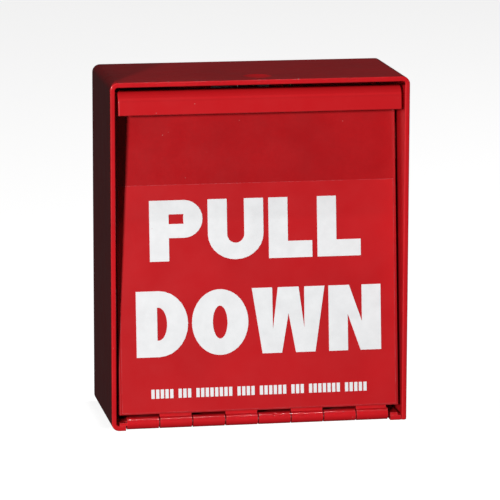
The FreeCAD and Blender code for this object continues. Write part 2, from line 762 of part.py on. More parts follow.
def make_studs():
    """Studs pressed flush into the back panel: two hold the bracket, one is for the earth wire."""
    studs, washers, nuts = [], [], []
    for index, (x, z) in enumerate(STUDS):
        seat = PANEL_FACE if x else BRACKET_FACE
        head = rod(f"StudHead{index}", "y", (x, PANEL_FACE, z), S["stud_head"] / 2, S["case_gauge"])
        shank = rod(f"StudShank{index}", "y", (x, seat - S["stud_length"], z), S["stud_diameter"] / 2,
                    S["stud_length"] + PANEL_FACE - seat)
        studs.append(fuse(f"Stud{index}", [head, shank]))
        bore = S["stud_diameter"] / 2
        face = seat - S["washer_gauge"]
        disc = rod(f"WasherDisc{index}", "y", (x, face, z), S["washer_diameter"] / 2, S["washer_gauge"])
        opening = rod(f"WasherBore{index}", "y", (x, face - OVER, z), bore, S["washer_gauge"] + OVER * 2)
        washers.append(cut(f"Washer{index}", disc, opening))
        front = face - S["nut_height"]
        blank = hexagon(f"NutBlank{index}", "y", (x, front, z), S["nut_flats"], S["nut_height"])
        thread = rod(f"NutBore{index}", "y", (x, front - OVER, z), bore, S["nut_height"] + OVER * 2)
        nuts.append(cut(f"Nut{index}", blank, thread))
    node(group("Studs", studs), "weld_studs")
    node(group("Washers", washers), "stud_washers")
    node(group("Nuts", nuts), "stud_nuts")


# ---- the lever ----

def turned_tube(name, x, length, outer, inner):
    """A tube on the lever's shaft."""
    wall = rod(f"{name}Wall", "x", (x, PIVOT_Y, PIVOT_Z), outer, length)
    bore = rod(f"{name}Bore", "x", (x - OVER, PIVOT_Y, PIVOT_Z), inner, length + OVER * 2)
    return cut(name, wall, bore)


def make_bushes():
    bushes = []
    bore = SHAFT_RADIUS + S["shaft_play"]
    flange = BUSH_RADIUS + S["bush_flange"]
    for side, name in ((-1, "L"), (1, "R")):
        start = STACK_X if side > 0 else -EAR_FACE
        outside = EAR_FACE if side > 0 else -EAR_FACE - S["bush_flange_depth"]
        bushes.append(fuse(f"Bush{name}", [
            turned_tube(f"BushBarrel{name}", start, S["bracket_gauge"], BUSH_RADIUS, bore),
            turned_tube(f"BushFlange{name}", outside, S["bush_flange_depth"], flange, bore)]))
    node(group("Bushes", bushes), "shaft_bushes")


def make_lever():
    """The locked lever, drawn about its own pivot."""
    travel = S["lever_travel"]
    heel_reach = S["pivot_reach"] - S["bracket_gauge"] - S["heel_gap"]
    heel = (heel_reach - S["heel_height"] * sine(travel)) / cosine(travel)
    boss_radius = S["shackle_hole"] / 2 + S["boss_margin"]
    boss_front = -S["shackle_reach"] - boss_radius
    handle_front = -S["shackle_reach"] - S["handle_width"] / 2
    handle_back = handle_front + S["handle_width"]
    drop = -S["shackle_drop"]
    foot = -S["handle_length"]
    flat = S["boss_flat"] / 2
    neck = drop - boss_radius - S["handle_taper"]
    arm = [(heel, S["heel_height"]), (-S["hub_half"], S["heel_height"]), (-S["arm_shoulder"], 0),
           (boss_front, drop + flat), (boss_front, drop - flat), (handle_front, neck),
           (handle_front, foot), (handle_back, foot), (handle_back, drop - boss_radius),
           (S["hub_half"], drop + boss_radius / 2), (S["hub_half"], S["hub_foot"])]
    body = doc.addObject("PartDesign::Body", "LeverBody")
    sketch = outline(body, "LeverOutline", "YZ_Plane", arm)
    pad(body, "LeverPlate", sketch, S["lever_gauge"])
    rounded = [arm[index] for index in (1, 2, 3, 4, 5, 8, 9)]
    round_edges(body, "LeverCorners", S["lever_round"], [(S["lever_gauge"] / 2, y, z) for y, z in rounded])
    for name, spot, radius in (("LeverShaftHole", (0, 0), SHAFT_RADIUS),
                               ("LeverShackleHole", (-S["shackle_reach"], drop), S["shackle_hole"] / 2),
                               ("LeverSpringHole", (-COIL_RADIUS, -S["spring_leg"]),
                                S["wire_diameter"] / 2 + S["spring_hole_play"])):
        pocket_through(body, name, circle(body, f"{name}Sketch", "YZ_Plane", spot, radius))
    place(body, LEVER_LEFT, PIVOT_Y, PIVOT_Z)
    node(body, "lock_lever")

    wall = S["grip_wall"]
    low, high = PIVOT_Z + foot, PIVOT_Z + neck - S["lever_round"]
    front, back = PIVOT_Y + handle_front, PIVOT_Y + handle_back
    corners = [(x, y) for x in (LEVER_LEFT - wall, LEVER_RIGHT + wall) for y in (front - wall, back + wall)]
    sleeve = doc.addObject("PartDesign::Body", "GripBody")
    ring = [corners[index] for index in (0, 1, 3, 2)]
    sketch = outline(sleeve, "GripOutline", "XY_Plane", ring)
    bind(sketch, ".AttachmentOffset.Base.z", low - wall)
    pad(sleeve, "GripSleeve", sketch, high - low + wall)
    round_edges(sleeve, "GripRound", S["grip_round"], [(x, y, (low + high) / 2) for x, y in corners])
    hollow = block("GripHollow", (LEVER_LEFT, front, low), (LEVER_RIGHT, back, high + OVER))
    node(cut("Grip", sleeve, hollow), "lever_grip")

    start = -EAR_FACE - S["bush_flange_depth"] - S["end_play"] - S["ring_gauge"] - S["ring_inset"]
    end = SWITCH_MIDDLE + S["cam_width"] / 2 + S["ring_inset"]
    node(rod("LeverShaft", "x", (start, PIVOT_Y, PIVOT_Z), SHAFT_RADIUS, end - start), "lever_shaft")
    ring_x = start + S["ring_inset"]
    rim = SHAFT_RADIUS + S["ring_rim"]
    node(turned_tube("Ring", ring_x, S["ring_gauge"], rim, SHAFT_RADIUS), "shaft_ring")
    long_start = -STACK_X + S["end_play"]
    short_end = STACK_X - S["end_play"]
    outer = SHAFT_RADIUS + S["spacer_wall"]
    long_spacer = turned_tube("LongSpacer", long_start, LEVER_LEFT - long_start, outer, SHAFT_RADIUS)
    short_spacer = turned_tube("ShortSpacer", LEVER_RIGHT, short_end - LEVER_RIGHT, outer, SHAFT_RADIUS)
    node(group("Spacers", [long_spacer, short_spacer]), "lever_spacers")


def make_cam():
    """A collar on the shaft with a finger that holds the switch leaf up."""
    half = S["cam_width"] / 2
    tip_radius = S["cam_tip"] / 2
    tip_y = PIVOT_Y + S["cam_reach"]
    tip_z = LEAF_BOTTOM - S["cam_gap"] - tip_radius
    start = SWITCH_MIDDLE - half
    body = doc.addObject("PartDesign::Body", "CamBody")
    inner = SHAFT_RADIUS + S["cam_root"]
    finger = [(PIVOT_Y, PIVOT_Z + inner), (tip_y - tip_radius, tip_z), (tip_y + tip_radius, tip_z),
              (PIVOT_Y + inner, PIVOT_Z)]
    pad(body, "CamFinger", outline(body, "CamOutline", "YZ_Plane", finger), S["cam_width"])
    place(body, start)
    collar = rod("CamCollar", "x", (start, PIVOT_Y, PIVOT_Z), S["cam_hub"] / 2, S["cam_width"])
    tip = rod("CamTip", "x", (start, tip_y, tip_z), tip_radius, S["cam_width"])
    bore = rod("CamBore", "x", (start - OVER, PIVOT_Y, PIVOT_Z), SHAFT_RADIUS, S["cam_width"] + OVER * 2)
    node(cut("Cam", fuse("CamSolid", [body, collar, tip]), bore), "switch_cam")


def make_spring():
    """A torsion spring round the spacer, drawn about its own axis as a stack of closed coils.

    One straight leg rests on the bracket's base; the other ends in a foot in the lever."""
    wire = S["wire_diameter"] / 2
    coils = []
    for index in range(SPRING_COILS):
        coil = doc.addObject("Part::Torus", f"SpringCoil{index}")
        bind(coil, "Radius1", COIL_RADIUS)
        bind(coil, "Radius2", wire)
        place(coil, 0, 0, SPRING_PITCH * index)
        coils.append(coil)
    length = SPRING_PITCH * (SPRING_COILS - 1)
    base_leg = rod("SpringBaseLeg", "z", (COIL_RADIUS, 0, 0), wire,
                   S["pivot_reach"] - S["bracket_gauge"] - S["stop_gap"])
    base_leg.Placement.Rotation = Rotation(Vector(1, 0, 0), 90)
    lever_leg = rod("SpringLeverLeg", "z", (0, COIL_RADIUS, length), wire, S["spring_leg"] + wire)
    lever_leg.Placement.Rotation = Rotation(Vector(0, -1, 0), 90)
    foot = rod("SpringFoot", "z", (-S["spring_leg"], COIL_RADIUS, length + wire), wire,
               S["lever_gauge"] + S["spring_gap"] - wire)
    first = fuse("SpringFirst", [coils[0], base_leg])
    last = fuse("SpringLast", [coils[-1], lever_leg])
    spring = group("Spring", [first, *coils[1:-1], last, foot])
    spring.Placement.Rotation = Rotation(Vector(0, 0, 1), Vector(0, -1, 0), Vector(1, 0, 0))
    place(spring, LEVER_LEFT - S["spring_gap"] - length, PIVOT_Y, PIVOT_Z)
    node(spring, "lever_spring")


# ---- the switch ----

def make_switch():
    wall = SWITCH_RIGHT - S["cover_gauge"]
    body = block("SwitchBlock", (SWITCH_LEFT, SWITCH_FRONT, SWITCH_FACE), (wall, SWITCH_BACK, SWITCH_TOP))
    cover = block("CoverBlock", (wall, SWITCH_FRONT, SWITCH_FACE), (SWITCH_RIGHT, SWITCH_BACK, SWITCH_TOP))
    holes = []
    for index, y in enumerate(SCREW_PLACES):
        holes.append(rod(f"ScrewWay{index}", "x", (SWITCH_LEFT - OVER, y, SCREW_Z),
                         S["switch_screw"] / 2 + S["screw_play"], S["switch_width"] + OVER * 2))
    pivot_y, pivot_z = LEAF_PIVOT
    leaf_left = SWITCH_MIDDLE - S["leaf_width"] / 2
    leaf_right = SWITCH_MIDDLE + S["leaf_width"] / 2
    play = S["lug_play"]
    lugs = []
    for name, start in (("L", leaf_left - play - S["lug_gauge"]), ("R", leaf_right + play)):
        lugs.append(block(f"Lug{name}", (start, pivot_y - EYE_RADIUS, pivot_z - EYE_RADIUS),
                          (start + S["lug_gauge"], pivot_y + EYE_RADIUS, SWITCH_FACE)))
    pin_start = leaf_left - play - S["lug_gauge"]
    pin_length = S["leaf_width"] + play * 2 + S["lug_gauge"] * 2
    pin_radius = S["leaf_pin_diameter"] / 2
    plunger_y = pivot_y + S["plunger_reach"]
    plunger_radius = S["plunger_diameter"] / 2
    well = rod("PlungerWell", "z", (SWITCH_MIDDLE, plunger_y, SWITCH_FACE - OVER),
               plunger_radius + S["pin_play"], S["plunger_depth"] + S["plunger_well"] + OVER)
    eye_hole = rod("LugHole", "x", (pin_start - OVER, *LEAF_PIVOT), pin_radius, pin_length + OVER * 2)
    node(drill("SwitchBody", fuse("SwitchCase", [body, *lugs]), [*holes, well, eye_hole]), "switch_body")
    node(drill("SwitchCover", cover, [doc.copyObject(hole) for hole in holes]), "switch_cover")
    node(rod("LeafPin", "x", (pin_start, *LEAF_PIVOT), pin_radius, pin_length), "leaf_pin")

    tip = LEAF_TOP + S["plunger_gap"]
    plunger = rod("Plunger", "z", (SWITCH_MIDDLE, plunger_y, tip), plunger_radius, S["plunger_depth"])
    node(plunger, "switch_plunger")

    blades = []
    middle = (SWITCH_FRONT + SWITCH_BACK) / 2
    for index in range(3):
        y = middle + S["blade_spacing"] * (index - 1)
        half_gauge, half_width = S["blade_gauge"] / 2, S["blade_width"] / 2
        low = (SWITCH_MIDDLE - half_gauge, y - half_width, SWITCH_TOP)
        high = (SWITCH_MIDDLE + half_gauge, y + half_width, SWITCH_TOP + S["blade_length"])
        blades.append(block(f"Blade{index}", low, high))
    node(group("Blades", blades), "switch_terminals")

    strip = block("LeafStrip", (leaf_left, pivot_y, LEAF_BOTTOM),
                  (leaf_right, PIVOT_Y + S["cam_reach"] + S["cam_tip"] / 2 + S["leaf_overhang"], LEAF_TOP))
    eye = rod("LeafEye", "x", (leaf_left, *LEAF_PIVOT), EYE_RADIUS, S["leaf_width"])
    bore = rod("LeafBore", "x", (leaf_left - OVER, *LEAF_PIVOT), EYE_BORE, S["leaf_width"] + OVER * 2)
    node(cut("SwitchLeaf", fuse("LeafSolid", [strip, eye]), bore), "switch_leaf")

    screws, nuts = [], []
    screw_radius = S["switch_screw"] / 2
    inner_end = STACK_X - S["small_nut_height"] - S["screw_end"]
    head_height = S["screw_head_height"]
    half_slot, reach = S["screw_slot"] / 2, S["screw_head"] / 2 + OVER
    for index, y in enumerate(SCREW_PLACES):
        start = (SWITCH_RIGHT, y, SCREW_Z)
        head = rod(f"ScrewHead{index}", "x", start, S["screw_head"] / 2, head_height)
        end = (inner_end, y, SCREW_Z)
        shank = rod(f"ScrewShank{index}", "x", end, screw_radius, SWITCH_RIGHT - inner_end)
        slot_floor = (SWITCH_RIGHT + head_height / 2, y - reach, SCREW_Z - half_slot)
        slot_mouth = (SWITCH_RIGHT + head_height + OVER, y + reach, SCREW_Z + half_slot)
        slot = block(f"ScrewSlot{index}", slot_floor, slot_mouth)
        screws.append(cut(f"Screw{index}", fuse(f"ScrewSolid{index}", [head, shank]), slot))
        blank = hexagon(f"SmallNutBlank{index}", "x", (STACK_X - S["small_nut_height"], y, SCREW_Z),
                        S["small_nut_flats"], S["small_nut_height"])
        hole = rod(f"SmallNutBore{index}", "x", (0, y, SCREW_Z), screw_radius, S["bracket_gap"])
        nuts.append(cut(f"SmallNut{index}", blank, hole))
    node(group("Screws", screws), "switch_screws")
    node(group("SmallNuts", nuts), "switch_nuts")


make_wrapper()
make_back_panel()
make_welds()
make_wire_bushing()
make_hinge()
make_door()
make_stops()
make_bracket()
make_studs()
make_bushes()
make_lever()
make_cam()
make_spring()
make_switch()
doc.recompute()

broken = [item.Name for item in doc.Objects if {"Invalid", "Error"} & set(item.State)]
if broken:
    raise RuntimeError(f"these objects failed: {broken}")
for label, item in NODES.items():
    if item.Shape.isNull() or not item.Shape.isValid():
        raise RuntimeError(f"{label} has no sound shape")

os.makedirs("parts", exist_ok=True)
for label, item in NODES.items():
    item.Shape.exportStep(f"parts/{label}.step")
print(f"{len(NODES)} sub-parts written")
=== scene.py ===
import json
import math

import bmesh
import bpy
import numpy as np
from mathutils import Matrix, Vector


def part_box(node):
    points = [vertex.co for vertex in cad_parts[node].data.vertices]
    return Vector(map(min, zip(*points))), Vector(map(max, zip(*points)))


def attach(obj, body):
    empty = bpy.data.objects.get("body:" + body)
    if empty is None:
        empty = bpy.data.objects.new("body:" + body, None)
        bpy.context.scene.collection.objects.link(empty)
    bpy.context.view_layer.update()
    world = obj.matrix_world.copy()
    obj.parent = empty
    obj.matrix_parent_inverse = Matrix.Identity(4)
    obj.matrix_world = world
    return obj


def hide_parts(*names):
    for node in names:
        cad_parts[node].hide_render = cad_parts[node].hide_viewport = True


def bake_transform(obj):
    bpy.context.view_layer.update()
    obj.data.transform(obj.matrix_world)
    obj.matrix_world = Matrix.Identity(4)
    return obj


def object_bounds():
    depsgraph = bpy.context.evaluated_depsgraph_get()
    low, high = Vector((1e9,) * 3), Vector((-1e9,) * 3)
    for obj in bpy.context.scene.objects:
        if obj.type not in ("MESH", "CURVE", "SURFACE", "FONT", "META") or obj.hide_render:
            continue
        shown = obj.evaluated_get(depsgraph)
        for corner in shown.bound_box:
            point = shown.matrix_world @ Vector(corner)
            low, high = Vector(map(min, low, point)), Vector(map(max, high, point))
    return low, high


# The looks of a red steel lock box with a drop-down door. Every length is in metres.

MM = 0.001

# ---- the view: to the left of the door and a little above it ----
VIEW_LEFT = math.radians(10.094)
VIEW_UP = math.radians(11.110)
VIEW_ROLL = math.radians(0.137)
VIEW_AIM = Vector((4.889, 0, -8.299)) * MM
VIEW_DISTANCE = 1.36335
LENS = 249.77
SENSOR = 36.0

# ---- the part: the case's gauge, the door's lean and the height of the lip's foot ----
GAUGE = 1.9 * MM
DOOR_TILT = math.radians(6.0)
LIP_FOOT = 54.6 * MM

# ---- the door's label: places in mm, across the door and above the origin ----
INK = 0.12 * MM
FIRST_WORD = {"text": "PULL", "left": -41.4, "right": 40.0, "low": -2.85, "high": 20.15, "gap": 2.0}
SECOND_WORD = {"text": "DOWN", "left": -47.1, "right": 47.5, "low": -39.0, "high": -14.0, "gap": 1.5}
SMALL_PRINT = {"left": -41.8, "low": -54.75, "high": -51.3, "dash": 1.25, "gap": 0.55, "space": 2.0}
# How many blank strokes each group of the small print has.
SMALL_WORDS = (5, 3, 8, 4, 6, 3, 7, 5)
# The width of a capital's stroke, as a share of its height.
STROKE = 0.32

# ---- the return spring ----
SPRING_TURNS = 5.25
SPRING_END_GAP = 0.7 * MM
WIRE_RADIUS = 0.5 * MM
WIRE_BEND = 1.1 * MM
WIRE_SIDES = 14
STEPS_PER_TURN = 40

# ---- threads and welds ----
STUD_PITCH = 0.8 * MM
STUD_RADIUS = 2.5 * MM
THREAD_DEPTH = 0.42 * MM
THREAD_CHAMFER = 0.5 * MM
THREAD_SIDES = 32
BEAD_STEP = 1.1 * MM
BEAD_ARC = 7

# ---- softened edges: how wide the bevel of each node is, in mm ----
EDGE_WIDTHS = {"lock_bracket": 0.22, "lock_lever": 0.2, "door_stops": 0.3, "switch_body": 0.25,
               "switch_cover": 0.25, "switch_terminals": 0.1, "stud_nuts": 0.12, "switch_nuts": 0.1,
               "lever_grip": 0.6}

# ---- the room ----
FLOOR_REACH = 30.0
SHADE_REACH = 9 * MM
SHADE_DEPTH = 0.16
# How far forward the key light's rays run for each step to the left.
KEY_SLOPE = 1.70
SIDE_FLAG_AWAY = 2.5 * MM
SIDE_FLAG_BELOW = 0.02
SIDE_FLAG_ABOVE = 0.05
SIDE_FLAG_BEHIND = 0.01
SIDE_FLAG_PASSES = 0.09
GAP_FLAG_AWAY = 0.3 * MM
GAP_FLAG_HEIGHT = 1.25 * MM
GAP_FLAG_PASSES = 0.05

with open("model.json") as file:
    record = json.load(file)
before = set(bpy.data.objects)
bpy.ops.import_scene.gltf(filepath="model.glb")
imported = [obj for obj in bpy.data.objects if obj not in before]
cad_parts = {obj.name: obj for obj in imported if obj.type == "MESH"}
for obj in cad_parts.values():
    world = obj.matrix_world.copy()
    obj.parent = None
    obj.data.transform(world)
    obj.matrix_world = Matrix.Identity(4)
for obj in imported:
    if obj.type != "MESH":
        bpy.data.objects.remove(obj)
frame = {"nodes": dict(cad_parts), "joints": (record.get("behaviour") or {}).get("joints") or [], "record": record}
cad_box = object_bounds()
nodes = frame["nodes"]
joints = {joint["name"]: joint for joint in frame["joints"]}


# ---- materials ----

class Surface:
    """A node material round one Principled shader."""

    def __init__(self, name, **constants):
        self.material = bpy.data.materials.new(name)
        self.material.use_nodes = True
        self.tree = self.material.node_tree
        self.shader = self.tree.nodes["Principled BSDF"]
        for socket, value in constants.items():
            self.shader.inputs[socket.replace("_", " ")].default_value = value
        self.place = self.node("ShaderNodeTexCoord").outputs["Object"]

    def node(self, kind, **settings):
        made = self.tree.nodes.new(kind)
        for key, value in settings.items():
            setattr(made, key, value)
        return made

    def feed(self, socket, value):
        if isinstance(value, bpy.types.NodeSocket):
            self.tree.links.new(value, socket)
        else:
            socket.default_value = value

    def stretched(self, scale, turn=(0, 0, 0)):
        mapping = self.node("ShaderNodeMapping")
        self.feed(mapping.inputs["Vector"], self.place)
        mapping.inputs["Scale"].default_value = scale
        mapping.inputs["Rotation"].default_value = turn
        return mapping.outputs["Vector"]

    def noise(self, size, detail=2.0, roughness=0.5, along=None):
        """Noise whose cells are about the given size in metres."""
        made = self.node("ShaderNodeTexNoise")
        self.feed(made.inputs["Vector"], along or self.place)
        made.inputs["Scale"].default_value = 1 / size
        made.inputs["Detail"].default_value = detail
        made.inputs["Roughness"].default_value = roughness
        return made.outputs["Fac"]

    def specks(self, size, radius, share):
        """Small round dots: 1 inside a dot, 0 outside; share is how many of the cells hold one."""
        made = self.node("ShaderNodeTexVoronoi")
        self.feed(made.inputs["Vector"], self.place)
        made.inputs["Scale"].default_value = 1 / size
        inside = self.fit(made.outputs["Distance"], radius, radius * 0.6, 0, 1)
        chosen = self.node("ShaderNodeSeparateColor")
        self.feed(chosen.inputs["Color"], made.outputs["Color"])
        kept = self.fit(chosen.outputs["Red"], share, share * 0.8, 0, 1)
        return self.math("MULTIPLY", inside, kept)

    def fit(self, value, low, high, new_low, new_high, smooth=False):
        made = self.node("ShaderNodeMapRange")
        made.interpolation_type = "SMOOTHSTEP" if smooth else "LINEAR"
        self.feed(made.inputs["Value"], value)
        for name, number in (("From Min", low), ("From Max", high),
                             ("To Min", new_low), ("To Max", new_high)):
            made.inputs[name].default_value = number
        return made.outputs["Result"]

    def math(self, operation, first, second=0.0):
        made = self.node("ShaderNodeMath", operation=operation)
        self.feed(made.inputs[0], first)
        self.feed(made.inputs[1], second)
        return made.outputs[0]

    def blend(self, share, first, second):
        """A colour between two colours."""
        made = self.node("ShaderNodeMix", data_type="RGBA")
        self.feed(made.inputs["Factor"], share)
        for name, value in (("A", first), ("B", second)):
            socket = [item for item in made.inputs if item.name == name and item.type == "RGBA"][0]
            self.feed(socket, value)
        return [item for item in made.outputs if item.type == "RGBA"][0]

    def edges(self, radius):
        """1 along edges that stand out, 0 on flat faces."""
        bevel = self.node("ShaderNodeBevel", samples=4)
        bevel.inputs["Radius"].default_value = radius
        true = self.node("ShaderNodeNewGeometry").outputs["Normal"]
        dot = self.node("ShaderNodeVectorMath", operation="DOT_PRODUCT")
        self.feed(dot.inputs[0], bevel.outputs["Normal"])
        self.feed(dot.inputs[1], true)
        return self.fit(dot.outputs["Value"], 0.97, 0.86, 0, 1)

    def coordinate(self, value):
        """A coordinate of the place: 0 is x, 1 is y, 2 is z."""
        made = self.node("ShaderNodeSeparateXYZ")
        self.feed(made.inputs["Vector"], self.place)
        return made.outputs[value]

    def bump(self, depth, value, under=None):
        """Bumps of the given depth in metres, on top of another normal."""
        made = self.node("ShaderNodeBump")
        made.inputs["Strength"].default_value = 1.0
        made.inputs["Distance"].default_value = depth
        self.feed(made.inputs["Height"], value)
        if under is not None:
            self.feed(made.inputs["Normal"], under)
        return made.outputs["Normal"]

    def set(self, **sockets):
        for name, value in sockets.items():
            self.feed(self.shader.inputs[name.replace("_", " ")], value)


def shade(value, factor):
    return (*[min(1.0, part * factor) for part in value[:3]], 1.0)


def powder_coat(name, base, dust, painted_light_above=None):
    """Baked powder paint: fine orange peel, faint mottling, dust specks and thin paint on edges.

    Paint above the given height is painted brighter: painted light on the door's lip, above the plate that stands
    in its shade."""
    s = Surface(name, Specular_IOR_Level=0.2, Coat_Weight=0.7, Coat_Roughness=0.09)
    mottle = s.fit(s.noise(22 * MM, 3, 0.6), 0.35, 0.65, 0, 1)
    colour = s.blend(mottle, shade(base, 0.93), shade(base, 1.05))
    fine = s.fit(s.noise(1.5 * MM, 2, 0.6), 0.3, 0.7, 0, 1)
    colour = s.blend(s.math("MULTIPLY", fine, 0.35), colour, shade(base, 0.86))
    if painted_light_above is not None:
        # Painted light: the lip above its foot is painted brighter than the plate in its shade.
        lip_painted_light = s.fit(s.coordinate(2), painted_light_above - 1.5 * MM, painted_light_above, 0, 1, True)
        colour = s.blend(lip_painted_light, colour, shade(base, 1.24))
    worn = s.math("MULTIPLY", s.edges(0.7 * MM), s.fit(s.noise(4 * MM, 3, 0.7), 0.42, 0.62, 0.12, 0.6))
    colour = s.blend(worn, colour, (min(1, base[0] * 1.18), base[1] * 4 + 0.03, base[2] * 3 + 0.03, 1))
    specks = s.math("MULTIPLY", s.specks(2.1 * MM, 0.085, dust), 0.55)
    colour = s.blend(specks, colour, (0.75, 0.42, 0.40, 1))
    dull = s.fit(s.noise(9 * MM, 4, 0.65), 0.3, 0.7, 0.30, 0.44)
    peel = s.bump(0.012 * MM, s.noise(0.9 * MM, 2, 0.5))
    grain = s.bump(0.004 * MM, s.noise(0.28 * MM, 1, 0.5), peel)
    wave = s.bump(0.02 * MM, s.noise(26 * MM, 1, 0.4), grain)
    s.set(Base_Color=colour, Roughness=dull, Normal=wave)
    return s.material


def vinyl_film(name, base):
    """Printed self-adhesive film: smooth, slightly rippled, with fine scuffs."""
    s = Surface(name, Specular_IOR_Level=0.3)
    mottle = s.fit(s.noise(34 * MM, 2, 0.5), 0.35, 0.65, 0, 1)
    colour = s.blend(mottle, shade(base, 0.95), shade(base, 1.04))
    scratch = s.noise(1.2 * MM, 2, 0.5, s.stretched((0.12, 1, 1.6), (0, 0.5, 0)))
    colour = s.blend(s.fit(scratch, 0.64, 0.8, 0, 0.10), colour, shade(base, 1.25))
    # Painted highlight: a pale, broken line along the film's cut edge, where the edge catches the light.
    cut_edge_highlight = s.math("MULTIPLY", s.edges(0.22 * MM), s.fit(s.noise(5 * MM, 3, 0.7), 0.38, 0.6, 0.15, 0.85))
    colour = s.blend(cut_edge_highlight, colour, (0.72, 0.22, 0.26, 1))
    dull = s.fit(s.noise(9 * MM, 3, 0.6), 0.3, 0.7, 0.36, 0.46)
    ripple = s.bump(0.02 * MM, s.noise(18 * MM, 2, 0.4))
    s.set(Base_Color=colour, Roughness=dull, Normal=s.bump(0.003 * MM, s.noise(0.5 * MM, 2), ripple))
    return s.material


def white_ink(name):
    """Thick screen-printed white."""
    s = Surface(name, Specular_IOR_Level=0.45)
    mottle = s.fit(s.noise(5 * MM, 3, 0.6), 0.3, 0.7, 0, 1)
    colour = s.blend(mottle, (0.86, 0.87, 0.88, 1), (0.93, 0.94, 0.95, 1))
    pinholes = s.math("MULTIPLY", s.specks(3.4 * MM, 0.05, 0.25), 0.5)
    colour = s.blend(pinholes, colour, (0.62, 0.16, 0.16, 1))
    dull = s.fit(s.noise(3 * MM, 2), 0.3, 0.7, 0.38, 0.5)
    s.set(Base_Color=colour, Roughness=dull, Normal=s.bump(0.004 * MM, s.noise(0.6 * MM, 2)))
    return s.material


def plated(name, base, roughness, grain, spangle):
    """Plated steel: drawn or rolled grain, soft spangle, dull spots and brighter rubbed edges."""
    s = Surface(name, Metallic=1.0)
    along = s.stretched(grain)
    lines = s.noise(1.2 * MM, 3, 0.6, along)
    cloud = s.fit(s.noise(spangle, 4, 0.6), 0.3, 0.7, 0, 1)
    colour = s.blend(cloud, shade(base, 0.82), shade(base, 1.06))
    colour = s.blend(s.fit(lines, 0.3, 0.7, 0, 0.3), colour, shade(base, 0.7))
    colour = s.blend(s.math("MULTIPLY", s.edges(0.4 * MM), 0.45), colour, shade(base, 1.3))
    haze = s.math("MULTIPLY", s.specks(2.6 * MM, 0.22, 0.12), 0.5)
    colour = s.blend(haze, colour, shade(base, 0.5))
    dull = s.math("ADD", s.fit(lines, 0.3, 0.7, roughness * 0.7, roughness * 1.15),
                  s.fit(cloud, 0, 1, 0, 0.12))
    s.set(Base_Color=colour, Roughness=dull, Normal=s.bump(0.006 * MM, lines))
    return s.material


def moulded(name, base, roughness, texture):
    """Moulded plastic or rubber with a fine spark-eroded grain, and edges painted lighter: handling wear and a
    painted sheen.
    """
    s = Surface(name, Specular_IOR_Level=0.45)
    mottle = s.fit(s.noise(6 * MM, 3), 0.3, 0.7, 0, 1)
    colour = s.blend(mottle, shade(base, 0.8), shade(base, 1.25))
    # Lighter edges: partly handling wear, partly a painted sheen.
    rubbed_and_sheen = s.math("MULTIPLY", s.edges(0.35 * MM), 0.5)
    colour = s.blend(rubbed_and_sheen, colour, (*[part * 1.6 + 0.02 for part in base[:3]], 1))
    dull = s.fit(s.noise(3 * MM, 3, 0.6), 0.3, 0.7, roughness * 0.85, roughness * 1.15)
    s.set(Base_Color=colour, Roughness=dull, Normal=s.bump(0.01 * MM, s.noise(texture, 2, 0.6)))
    return s.material


CASE_RED = (0.640, 0.0095, 0.0150, 1)
# The door's red is the case's paint painted darker: painted shade on the plate under the lip.
SHADED_DOOR_RED = (0.480, 0.0085, 0.0120, 1)
FILM_RED = (0.560, 0.0100, 0.0140, 1)

finishes = {
    "red_paint": powder_coat("case_powder_coat", CASE_RED, 0.30),
    "door_paint": powder_coat("door_coat_painted_light", SHADED_DOOR_RED, 0.05, LIP_FOOT),
    "red_film": vinyl_film("red_label_film", FILM_RED),
    "zinc_steel": plated("zinc_plated_sheet", (0.56, 0.57, 0.56), 0.42, (1, 1, 0.08), 5 * MM),
    "plated_steel": plated("bright_plated_steel", (0.66, 0.66, 0.63), 0.26, (0.3, 1, 1), 3 * MM),
    "spring_steel": plated("drawn_spring_wire", (0.33, 0.33, 0.34), 0.34, (0.1, 1, 1), 2 * MM),
    "bronze": plated("sintered_bronze", (0.55, 0.36, 0.18), 0.5, (1, 1, 1), 0.8 * MM),
    "brass_blades": plated("stamped_brass", (0.78, 0.58, 0.27), 0.3, (0.2, 1, 1), 4 * MM),
    "black_rubber": moulded("black_bumper_rubber", (0.016, 0.016, 0.017), 0.75, 0.25 * MM),
    "black_plastic": moulded("black_moulding", (0.022, 0.022, 0.024), 0.46, 0.35 * MM),
    "red_vinyl": moulded("dipped_red_vinyl", (0.42, 0.016, 0.02), 0.36, 1.2 * MM),
    "red_plastic": moulded("red_button_moulding", (0.5, 0.02, 0.02), 0.3, 0.6 * MM),
}
ink = white_ink("white_screen_ink")

for part in frame["record"]["subparts"]:
    mesh = nodes[part["node"]].data
    mesh.materials.clear()
    mesh.materials.append(finishes[part["material_slot"]])


# ---- building pieces ----

def piece(name, mesh, material, body):
    """A finished mesh piece that rides on a body."""
    made = bpy.data.objects.new(name, mesh)
    bpy.context.scene.collection.objects.link(made)
    mesh.materials.append(material)
    if body:
        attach(made, body)
    return made


def mesh_of(name, build, smooth=30):
    """A mesh filled by build(bm), with smooth faces that stay sharp past the given angle."""
    mesh = bpy.data.meshes.new(name)
    bm = bmesh.new()
    build(bm)
    bmesh.ops.recalc_face_normals(bm, faces=bm.faces[:])
    for face in bm.faces:
        face.smooth = True
    for edge in bm.edges:
        if len(edge.link_faces) == 2:
            edge.smooth = edge.calc_face_angle() < math.radians(smooth)
    bm.to_mesh(mesh)
    bm.free()
    return mesh


def islands(name):
    """The lowest and highest corner of each separate solid of a CAD node, from left to right."""
    bm = bmesh.new()
    bm.from_mesh(nodes[name].data)
    bmesh.ops.remove_doubles(bm, verts=bm.verts[:], dist=0.001 * MM)
    found, left = [], set(bm.verts)
    while left:
        group, edge = set(), [left.pop()]
        while edge:
            vertex = edge.pop()
            group.add(vertex)
            for link in vertex.link_edges:
                other = link.other_vert(vertex)
                if other in left:
                    left.remove(other)
                    edge.append(other)
        places = np.array([vertex.co for vertex in group])
        found.append((Vector(places.min(0)), Vector(places.max(0))))
    bm.free()
    return sorted(found, key=lambda pair: tuple(round(value, 5) for value in pair[0]))


